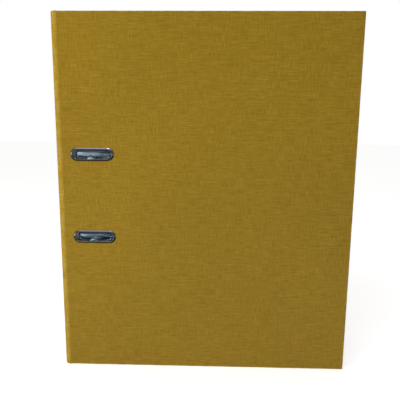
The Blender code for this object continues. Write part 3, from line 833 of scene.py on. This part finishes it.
def arch_wire():
    """The bent wire: two arches, pressed a little flat at the slots, and the crank between them."""
    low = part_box("arch_wire")[0]
    tip_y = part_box("upper_post")[0].y - 0.0003
    half = ARCH_PITCH / 2
    crank_low, crank_high = MID_Z - 0.005, MID_Z + 0.007
    x, y = ARCH_X, ARCH_Y
    reach = x + CRANK_REACH
    upper = [(x, y - 0.03, MID_Z + half), (x, y, MID_Z + half), (x, y, crank_high)]
    crank = [(reach, y, crank_high), (reach, y, crank_low), (x, y, crank_low)]
    lower = [(x, y, MID_Z - half), (x, y - 0.03, MID_Z - half)]
    route = [Vector(at) for at in upper + crank + lower]
    tips = [Vector((POST_X, tip_y, MID_Z + side * half)) for side in (1, -1)]
    lower_crown = reversed(crown(MID_Z - half))
    whole = [tips[0], *crown(MID_Z + half), *rounded_route(route, 0.0045), *lower_crown, tips[1]]
    whole = evenly(whole, 0.0009)
    sizes = []
    for i, point in enumerate(whole):
        crest = max(0.0, min(1.0, 1 - (point.y - low.y + CREST_LIFT - WIRE) / 0.006))
        crest = crest * crest * (3 - 2 * crest)
        ends = min(i, len(whole) - 1 - i)
        taper = (0.62, 0.84, 0.96)[ends] if ends < 3 else 1
        point.y -= crest * 0.0005
        wide, thick = WIRE + crest * 0.0012, WIRE - crest * 0.0005
        sizes.append((wide * taper, thick * taper, 2 + crest * 1.8))
    fit(tube("bent_arch_wire", whole, sizes, WIRE_CHROME), "arches", "chrome_steel", "arch_wire")


def posts():
    """Turned posts with a collar, and a cupped mouth that the arch's tip seats in."""
    for node in ("upper_post", "lower_post"):
        low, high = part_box(node)
        centre = Vector((POST_X, FLOOR_Y, middle_of(node).z))
        top, foot = FLOOR_Y - low.y, PLATE_TOP + 0.00015
        collar = (high.z - low.z) / 2
        profile = [(0.0004, top - 0.0012), (WIRE - 0.0009, top - 0.0002), (WIRE - 0.0006, top)]
        profile += [(WIRE - 0.0002, top - 0.0001), (WIRE, top - 0.0005), (WIRE, foot + 0.0022)]
        profile += [(WIRE + 0.0002, foot + 0.0017), (collar - 0.0005, foot + 0.0013)]
        profile += [(collar - 0.0001, foot + 0.0010), (collar, foot + 0.0003)]
        profile += [(collar - 0.0001, foot), (0.0020, foot), (0.0020, 0.0002)]
        post = turned_solid(node + "_turned", profile, centre, (0, -1, 0), NICKEL, 40)
        fit(post, "back_cover", "nickel_steel", node)


def dome(radius, base, rise, angles):
    return [(radius * sin(radians(a)), base + rise * cos(radians(a))) for a in angles]


def rivets():
    for i in range(1, 5):
        node = f"base_rivet_{i}"
        low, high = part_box(node)
        centre = Vector(((low.x + high.x) / 2, FLOOR_Y, (low.z + high.z) / 2))
        top, tail = FLOOR_Y - low.y, FLOOR_Y - high.y
        seat = PLATE_TOP + 0.00015
        wide = (high.x - low.x) / 2
        under = -PANEL - 0.00015
        profile = [(0.0001, top)]
        profile += dome(0.0036, seat, top - seat, range(10, 91, 10))
        profile += [(0.0020, seat), (0.0020, under), (wide, under)]
        profile += dome(wide, under, tail - under, range(80, 0, -10))
        profile += [(0.0001, tail)]
        head = turned_solid(node + "_head", profile, centre, (0, -1, 0), NICKEL)
        fit(head, "back_cover", "nickel_steel", node)


def base_plate():
    """The pressed plate: its window, two hoops for the arch wire, two ears for the lever, ribs."""
    low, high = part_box("base_plate")
    middle = Vector(((low.x + high.x) / 2, FLOOR_Y - PLATE_TOP + PLATE / 2, MID_Z))
    wide, tall = high.x - low.x, high.z - low.z
    flat = Matrix.Translation(middle) @ Matrix.Rotation(pi / 2, 4, "X")

    rim = filleted(corners(-wide / 2, -tall / 2, wide / 2, tall / 2), 0.004, 6)
    left, right = SPINE_X + 0.0145 - middle.x, SPINE_X + 0.0385 - middle.x
    window = filleted(corners(left, -0.001, right, 0.0262), 0.002, 6)
    lightening = []
    for up in (-0.048, -0.061, 0.048, 0.061):
        lightening.append(filleted(corners(-0.0055, up - 0.0035, 0.0055, up + 0.0035), 0.0034, 6))
    shank_holes = []
    for node in (*(f"base_rivet_{i}" for i in range(1, 5)), "upper_post", "lower_post"):
        at = middle_of(node) - middle
        shank_holes.append(round_hole(SHANK_HOLE, 24, (at.x, at.z)))
    outlines = [rim, window, *lightening, *shank_holes]
    plate_piece = plate("pressed_base_plate", outlines, PLATE, 0.0003, flat, NICKEL)
    fit(plate_piece, "back_cover", "nickel_steel", "base_plate")

    bore = WIRE + 0.0003
    sheet = 0.001
    for side in (-1, 1):
        centre = Vector((ARCH_X, ARCH_Y, MID_Z + side * 0.030))
        foot = ARCH_Y - (FLOOR_Y - PLATE_TOP) + 0.0002
        wall, toe, sole = bore + sheet, bore + sheet + 0.0014, foot - 0.0004
        hoop = arc((0, 0), wall, 0, 180, 20)
        hoop += [(-wall, foot + 0.0006), (-toe, foot), (-toe, sole), (-bore, sole)]
        hoop += arc((0, 0), bore, 180, 0, 20)
        hoop += [(bore, sole), (toe, sole), (toe, foot), (wall, foot + 0.0006)]
        turn = Matrix.Translation(centre) @ Matrix.Rotation(pi, 4, "X")
        name = "upper" if side > 0 else "lower"
        strap = plate(name + "_bearing_strap", [hoop], 0.006, 0.0002, turn, NICKEL)
        fit(strap, "back_cover", "nickel_steel")

    pivot = joint_at("lever_hinge")
    gap, ear = 0.0063, 0.0012
    height = (FLOOR_Y - PLATE_TOP) - pivot.y
    for side in (-1, 1):
        cheek = arc((0, 0), 0.0045, 0, 180, 18)
        cheek += [(-0.0045, -height + 0.0015), (-0.0062, -height - 0.0002)]
        cheek += [(0.0062, -height - 0.0002), (0.0045, -height + 0.0015)]
        at = pivot + Vector((side * (gap + ear / 2), 0, 0))
        turn = Matrix.Translation(at) @ Matrix(((0, 0, 1), (0, -1, 0), (1, 0, 0))).to_4x4()
        name = "right" if side > 0 else "left"
        outlines = [cheek, round_hole(PIN_HOLE, 24)]
        piece = plate(name + "_lever_ear", outlines, ear, 0.0002, turn, NICKEL)
        fit(piece, "back_cover", "nickel_steel")

    ribs = ((-0.0185, 0.056, 0.030), (0.0195, 0.0, 0.056), (-0.0185, -0.056, 0.030))
    for i, (x, y, length) in enumerate(ribs):
        at = middle + Vector((x, -PLATE / 2, y))
        rib(f"plate_rib_{i + 1}", "back_cover", at, length, 0.0048, 0.0007)


def rib(name, body, centre, length, width, rise):
    """A pressed rib: an upright oblong domed out of the sheet at this place."""
    rings = []
    for k in range(7):
        turn = k / 6 * pi / 2
        shrink = cos(turn) if k < 6 else 0.05
        out = 0.0001 - sin(turn) * rise
        outline = stadium(length - width * (1 - shrink), width * shrink, 10)
        rings.append([centre + Vector((at.y, out, at.x)) for at, _ in outline])
    fit(loft(name, rings, NICKEL, smooth=60), body, "nickel_steel")


def arch_spring():
    """The torsion coil, from the plate to the crank."""
    gauge = 0.0006
    radius = WIRE + 0.0003 + 2 * gauge
    bottom, top = 0.0135, 0.0245
    turns, per_turn = 6, 28
    centre = Vector((ARCH_X, ARCH_Y, MID_Z))
    coil = []
    for i in range(turns * per_turn + 1):
        angle = -pi / 2 + 2 * pi * i / per_turn
        rise = bottom + (top - bottom) * i / (turns * per_turn)
        coil.append(centre + Vector((radius * cos(angle), -radius * sin(angle), rise)))
    under = ARCH_Y + radius
    hook_x = ARCH_X + CRANK_REACH - 0.006
    hook = [
        Vector((hook_x, under, MID_Z + bottom - 0.0065)),
        Vector((hook_x, under, MID_Z + bottom - 0.0012)),
        Vector((hook_x - 0.0004, under, MID_Z + bottom - 0.0004)),
        Vector((hook_x - 0.0012, under, MID_Z + bottom)),
    ]
    rest = [Vector((ARCH_X - 0.0042, under, MID_Z + top))]
    spring = wire("wound_arch_spring", [*hook, *coil, *rest], gauge, SPRING_STEEL)
    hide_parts("arch_spring")
    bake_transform(spring)


def headed_pin(name, node, body, centre, half, axis=(1, 0, 0), radius=PIN):
    head = 0.0008
    wide = radius * 1.6
    upper = [(0.0001, half + head)]
    for angle in range(20, 90, 14):
        upper.append((wide * sin(radians(angle)), half + head * cos(radians(angle)) ** 0.6))
    upper += [(wide, half), (radius, half)]
    profile = upper + [(at, -height) for at, height in reversed(upper)]
    fit(turned_solid(name, profile, centre, axis, NICKEL, 32), body, "nickel_steel", node)


def lever():
    """The lever: a pressed channel with rolled edges, bent up under its moulded grip."""
    pivot = joint_at("lever_hinge")
    axle = joint_at("roller_spin")
    half = (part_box("lever")[1].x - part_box("lever")[0].x) / 2
    sheet, web, drop = 0.001, 0.0055, 0.0039
    side = Vector((1, 0, 0))
    bend_up, rise, reach = 0.067, radians(9), 0.046
    path, sections = [], []

    def channel(skirt):
        """A section of the channel: a rounded web and two flanges reaching down by skirt."""
        top, side = web - sheet, half - sheet
        outer = filleted(corners(-skirt, -half, web, half), 0.0016, 5)
        inner = filleted(corners(-skirt, side, top, -side), 0.0008, 5)
        # Both lines leave out the far halves of the two roundings at the open edge.
        section = [(-skirt, -half + 0.0002), *outer[3:21], (-skirt, half - 0.0002)]
        return section + [(-skirt, side + 0.0002), *inner[3:21], (-skirt, -side - 0.0002)]

    rounding = (-0.0055, -0.0050, -0.0042, -0.0030, -0.0012)
    for along in (*rounding, 0.002, 0.010, 0.020, 0.030, 0.040, 0.050, 0.058):
        t = min(1.0, (along + 0.0055) / 0.0045)
        skirt = -0.001 + (drop + 0.001) * (1 - (1 - t) ** 2) ** 0.5
        path.append(pivot + Vector((0, 0, along)))
        sections.append(channel(skirt))
    for i in range(9):
        turn = rise * i / 8
        radius = 0.055
        up = bend_up - 0.0045 + radius * sin(turn)
        path.append(pivot + Vector((0, -radius * (1 - cos(turn)), up)))
        sections.append(channel(drop - 0.0004 * i / 8))
    last = path[-1]
    end = reach - 0.0045
    for i in range(1, 7):
        far = end * i / 6
        path.append(last + Vector((0, -sin(rise), cos(rise))) * far)
        sections.append(channel(drop - 0.0004 - 0.001 * i / 6))
    body = ribbon("lever_channel", path, sections, side, NICKEL, 40)
    holes = []
    for name, at in (("lever_pivot_hole", pivot), ("lever_axle_hole", axle)):
        outline = [(PIN_HOLE, half + 0.003), (PIN_HOLE, -half - 0.003)]
        holes.append(turned_solid(name, outline, at, (1, 0, 0), NICKEL))
    boolean(body, "DIFFERENCE", *holes)
    fit(body, "lever", "nickel_steel", "lever")

    headed_pin("lever_pivot_rivet", "lever_pivot_pin", "back_cover", pivot, half + 0.0018)
    headed_pin("roller_axle_rivet", "roller_axle", "lever", axle, half + 0.00015)
    roller_half = half - sheet - 0.0003
    radius = (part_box("lever_roller")[1].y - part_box("lever_roller")[0].y) / 2
    bore = PIN + 0.00015
    rim = [(bore, roller_half - 0.0003), (bore + 0.0003, roller_half)]
    rim += [(radius - 0.0006, roller_half), (radius - 0.0002, roller_half - 0.0002)]
    rim.append((radius, roller_half - 0.0007))
    outline = rim + [(at, -height) for at, height in reversed(rim)]
    roller = turned("turned_roller", outline, axle, (1, 0, 0), NICKEL, 48)
    fit(roller, "roller", "nickel_steel", "lever_roller")
    grip(pivot, bend_up, rise, reach, half)


def grip(pivot, bend_up, rise, reach, half):
    """The moulded grip: a softly waisted sleeve with finger ribs and a rounded nose."""
    bend = pivot + Vector((0, 0, bend_up))
    ahead = Vector((0, -sin(rise), cos(rise)))
    length = 0.0353
    start = bend + ahead * (reach - 0.030)
    floor_at, top_at = -0.0054, 0.0070
    centre, deep = (floor_at + top_at) / 2, (top_at - floor_at) / 2
    out = Vector((0, -cos(rise), -sin(rise)))
    rings = []
    count = 96
    for i in range(count + 1):
        t = i / count
        along = length * (1 - cos(pi * t)) / 2
        waist = sin(pi * min(1, along / length)) ** 2
        wide = half + 0.0015 - 0.0007 * waist + 0.0006 * (along / length) ** 2
        mouth = min(1.0, 0.9 + along / 0.001 * 0.1) if along < 0.001 else 1.0
        nose_left = max(0.0, (along - length + 0.005) / 0.005)
        close = max(0.03, (1 - nose_left**2.2)) ** 0.5
        ring = []
        for k in range(56):
            angle = 2 * pi * k / 56
            x, y = signed_power(cos(angle), 0.5), signed_power(sin(angle), 0.5)
            ribs = 0.0
            if 0.007 < along < 0.028 and x > 0.6:
                ribs = 0.00045 * max(0.0, sin(2 * pi * along / 0.0035)) * (1 - abs(y) ** 6)
            above = out * (centre + (deep * x + ribs) * close * mouth)
            ring.append(start + ahead * along + above + Vector((wide * y * close * mouth, 0, 0)))
        rings.append(ring)
    handle = loft("moulded_lever_grip", rings, PLASTIC, smooth=50)
    fit(handle, "lever", "black_plastic", "lever_grip")


def compressor():
    """The sliding bar, a channel with collared holes and a long rib, and its rolled thumb catch."""
    low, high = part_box("compressor_bar")
    top = FLOOR_Y - 0.0085
    deep = FLOOR_Y - 0.0045
    sheet = 0.001
    corner, far = Vector((low.x, top, low.z)), Vector((high.x, deep, high.z))
    bar = box_mesh("compressor_channel", corner, far, NICKEL, 0.0011, 4, [(1, deep)])
    hollow = box_mesh(
        "hollow",
        Vector((low.x + sheet, top + sheet, low.z + sheet)),
        Vector((high.x - sheet, deep + sheet, high.z - sheet)),
        NICKEL,
        0.0005,
        2,
    )
    inner = WIRE + 0.0004
    holes = []
    for side in (-1, 1):
        centre = Vector((POST_X, top, MID_Z + side * ARCH_PITCH / 2))
        holes.append(disc(f"bar_hole_{side}", centre, (0, 1, 0), inner, 0.005))
    fit(boolean(bar, "DIFFERENCE", hollow, *holes), "compressor", "nickel_steel", "compressor_bar")
    for name, side in (("upper", 1), ("lower", -1)):
        centre = Vector((POST_X, top, MID_Z + side * ARCH_PITCH / 2))
        outline = [(0, 0.0006), (0.0002, 0.0009), (0.0007, 0.0009), (0.0012, 0.0004)]
        outline += [(0.0018, 0.00002), (0.0018, -0.0004), (0, -0.0004)]
        outline = [(inner + out, height) for out, height in outline]
        collar = turned(name + "_bar_collar", outline, centre, (0, -1, 0), NICKEL)
        fit(collar, "compressor", "nickel_steel")
        centre = Vector((POST_X, top, MID_Z + side * 0.0225))
        rib(name + "_bar_rib", "compressor", centre, 0.022, 0.004, 0.0006)

    pivot = joint_at("catch_hinge")
    pivot_height = top - pivot.y
    for name, side in (("upper", 1), ("lower", -1)):
        cheek = arc((0, 0), 0.0022, 0, 180, 14)
        cheek += [(-0.0026, -pivot_height - 0.0004), (0.0026, -pivot_height - 0.0004)]
        at = pivot + Vector((0, 0, side * 0.009))
        turn = Matrix.Translation(at) @ Matrix.Rotation(pi, 4, "X")
        outlines = [cheek, round_hole(0.0013, 20)]
        piece = plate(name + "_catch_ear", outlines, 0.001, 0.0002, turn, NICKEL)
        fit(piece, "compressor", "nickel_steel")
    name, node = "catch_hinge_pin", "compressor_catch_pin"
    headed_pin(name, node, "compressor", pivot, 0.0096, (0, 0, 1), 0.001)

    catch_low, catch_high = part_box("compressor_catch")
    reach = catch_high.x - pivot.x
    half = (catch_high.z - catch_low.z) / 2 - 0.0002
    barrel = 0.0017
    leaf_y = pivot.y - barrel
    path = [pivot + Vector((x, y, 0)) for x, y in arc((0, 0), barrel, -360, -90, 24)]
    rolled = len(path)
    for i in range(1, 7):
        path.append(Vector((pivot.x + (reach - 0.0045) * i / 6, leaf_y, pivot.z)))
    curl = arc((pivot.x + reach - 0.0045, leaf_y - 0.004), 0.004, 90, 15, 10)
    path += [Vector((x, y, pivot.z)) for x, y in curl[1:]]
    sections = []
    count = len(path)
    for i in range(count):
        t = i / (count - 1)
        wide = half - 0.0012 * max(0.0, (t - 0.88) / 0.12) ** 2 - 0.0002
        if i < rolled:
            wide = half - 0.0002
        sections.append(filleted(corners(-0.0005, -wide, 0.0005, wide), 0.0004, 3))
    catch = ribbon("rolled_catch", path, sections, Vector((0, 0, 1)), NICKEL, 50)
    fit(catch, "compressor_catch", "nickel_steel", "compressor_catch")


def washers():
    """Flat washers that the eyelets and the finger ring are clinched over, with eased edges."""
    for prefix, centre in slot_centres().items():
        node = prefix + "_slot_washer"
        low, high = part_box(node)
        long, wide = high.x - low.x, high.z - low.z
        room = 2 * (WALL + 0.0002)
        outer = [at for at, _ in stadium(long, wide, 16)]
        inner = [at for at, _ in stadium(SLOT_LENGTH + room, SLOT_WIDTH + room, 16)]
        middle = Vector((centre.x, (low.y + high.y) / 2, centre.z))
        turn = Matrix.Translation(middle) @ Matrix.Rotation(pi / 2, 4, "X")
        thick = high.y - low.y
        ring = plate(node + "_ring", [outer, inner], thick, thick * 0.3, turn, NICKEL)
        fit(ring, "front_cover", "nickel_steel", node)
    low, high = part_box("finger_ring_washer")
    middle = (low + high) / 2
    thick = (high.x - low.x) / 2
    outer = (high.z - low.z) / 2
    inner = FINGER_HOLE + WALL + 0.0002
    outline = filleted(corners(inner, -thick, outer, thick), thick * 0.7, 3)
    ring = turned("finger_washer_ring", outline, middle, (1, 0, 0), NICKEL, 72)
    fit(ring, "spine", "nickel_steel", "finger_ring_washer")


# ---------------------------------------------------------------- the studio


def world():
    """A plain pale studio. Metal sees a dim room instead: pale blue at the left, dark right."""
    made = bpy.data.worlds.new("studio")
    bpy.context.scene.world = made
    tree = Nodes(made)
    split = tree.add("SeparateXYZ", {0: tree.add("TexCoord").outputs["Generated"]}).outputs
    height = tree.spread(split[2], -1, 1)
    limits = {0: split[0], 1: -0.55, 2: -0.05}
    side = tree.add("MapRange", limits, interpolation_type="SMOOTHSTEP").outputs[0]
    left = [
        (0.0, (0.03, 0.03, 0.03)),
        (0.34, (0.014, 0.026, 0.052)),
        (0.42, (0.06, 0.12, 0.18)),
        (0.455, (0.34, 0.47, 0.55)),
        (0.53, (0.56, 0.67, 0.72)),
        (0.60, (0.10, 0.12, 0.16)),
        (0.72, (0.07, 0.065, 0.07)),
        (0.86, (0.13, 0.115, 0.125)),
        (0.94, (0.46, 0.42, 0.44)),
        (1.0, (0.62, 0.58, 0.60)),
    ]
    right = [
        (0.0, (0.03, 0.03, 0.03)),
        (0.34, (0.006, 0.010, 0.018)),
        (0.40, (0.13, 0.18, 0.21)),
        (0.44, (0.015, 0.035, 0.05)),
        (0.48, (0.17, 0.26, 0.30)),
        (0.53, (0.02, 0.05, 0.07)),
        (0.72, (0.06, 0.055, 0.06)),
        (0.86, (0.12, 0.105, 0.115)),
        (0.94, (0.44, 0.40, 0.42)),
        (1.0, (0.60, 0.56, 0.58)),
    ]
    seen = tree.mix(side, tree.colours(height, left), tree.colours(height, right))
    room = tree.add("Background", {0: seen, 1: 1.0}).outputs[0]
    soft = tree.add("Background", {0: (1.0, 0.99, 0.98, 1), 1: AMBIENT}).outputs[0]
    pale = tree.add("Background", {0: (1, 1, 1, 1), 1: 1.0}).outputs[0]
    rays = tree.add("LightPath").outputs
    lit = tree.add("MixShader", {0: rays["Is Glossy Ray"], 1: soft, 2: room}).outputs[0]
    whole = tree.add("MixShader", {0: rays["Is Camera Ray"], 1: lit, 2: pale}).outputs[0]
    tree.links.new(whole, tree.nodes["World Output"].inputs[0])


def floor():
    shape = bmesh.new()
    bmesh.ops.create_grid(shape, x_segments=1, y_segments=1, size=6)
    tree = Tree("pale_floor", Roughness=0.9, Specular_IOR_Level=0.0, Emission_Strength=FLOOR_GLOW)
    tree.shader.inputs["Emission Color"].default_value = (1, 1, 1, 1)
    tone = tree.noise(tree.place(), (3, 3, 3), 2)
    colour = tree.colours(tone, [(0.3, (0.84, 0.84, 0.84)), (0.7, (0.86, 0.86, 0.86))])
    ground = finish_mesh("floor", shape, tree.feed(Base_Color=colour))
    ground.location.z = -0.0005
    ground.visible_glossy = False


def lamp(name, at, size, power, colour=(1, 1, 1), mirrored=False):
    """A soft light aimed at the file's middle, which shiny metal sees only if it is mirrored."""
    light = bpy.data.lights.new(name, "AREA")
    light.shape = "RECTANGLE"
    light.size, light.size_y = size
    light.energy = power
    light.color = colour
    holder = bpy.data.objects.new(name, light)
    bpy.context.scene.collection.objects.link(holder)
    holder.location = at
    aim = Vector((0, 0, HEIGHT / 2)) - Vector(at)
    holder.rotation_euler = aim.to_track_quat("-Z", "Y").to_euler()
    holder.visible_glossy = mirrored


def camera():
    data = bpy.data.cameras.new("camera")
    data.lens = CAMERA_LENS
    data.sensor_width = 36
    holder = bpy.data.objects.new("camera", data)
    bpy.context.scene.collection.objects.link(holder)
    aim = Matrix.Rotation(CAMERA_YAW, 4, "Z") @ Matrix.Rotation(pi / 2 - CAMERA_PITCH, 4, "X")
    holder.matrix_world = Matrix.Translation(CAMERA_AT) @ aim @ Matrix.Rotation(CAMERA_ROLL, 4, "Z")
    bpy.context.scene.camera = holder


def studio():
    scene = bpy.context.scene
    scene.view_settings.view_transform = "Standard"
    world()
    floor()
    lamp("key", (-0.85, -0.44, 0.10), (0.35, 0.5), 5.5, (1.0, 0.98, 0.95))
    lamp("upper", (-0.40, -0.75, 1.2), (0.6, 0.6), 3.4)
    lamp("gleam", (-0.11, -0.62, 1.5), (0.45, 0.30), 0.5, mirrored=True)
    camera()


dress_frame()
covers()
hinges()
slot_eyelets()
finger_ring()
washers()
base_plate()
rivets()
posts()
arch_wire()
arch_spring()
lever()
compressor()
studio()
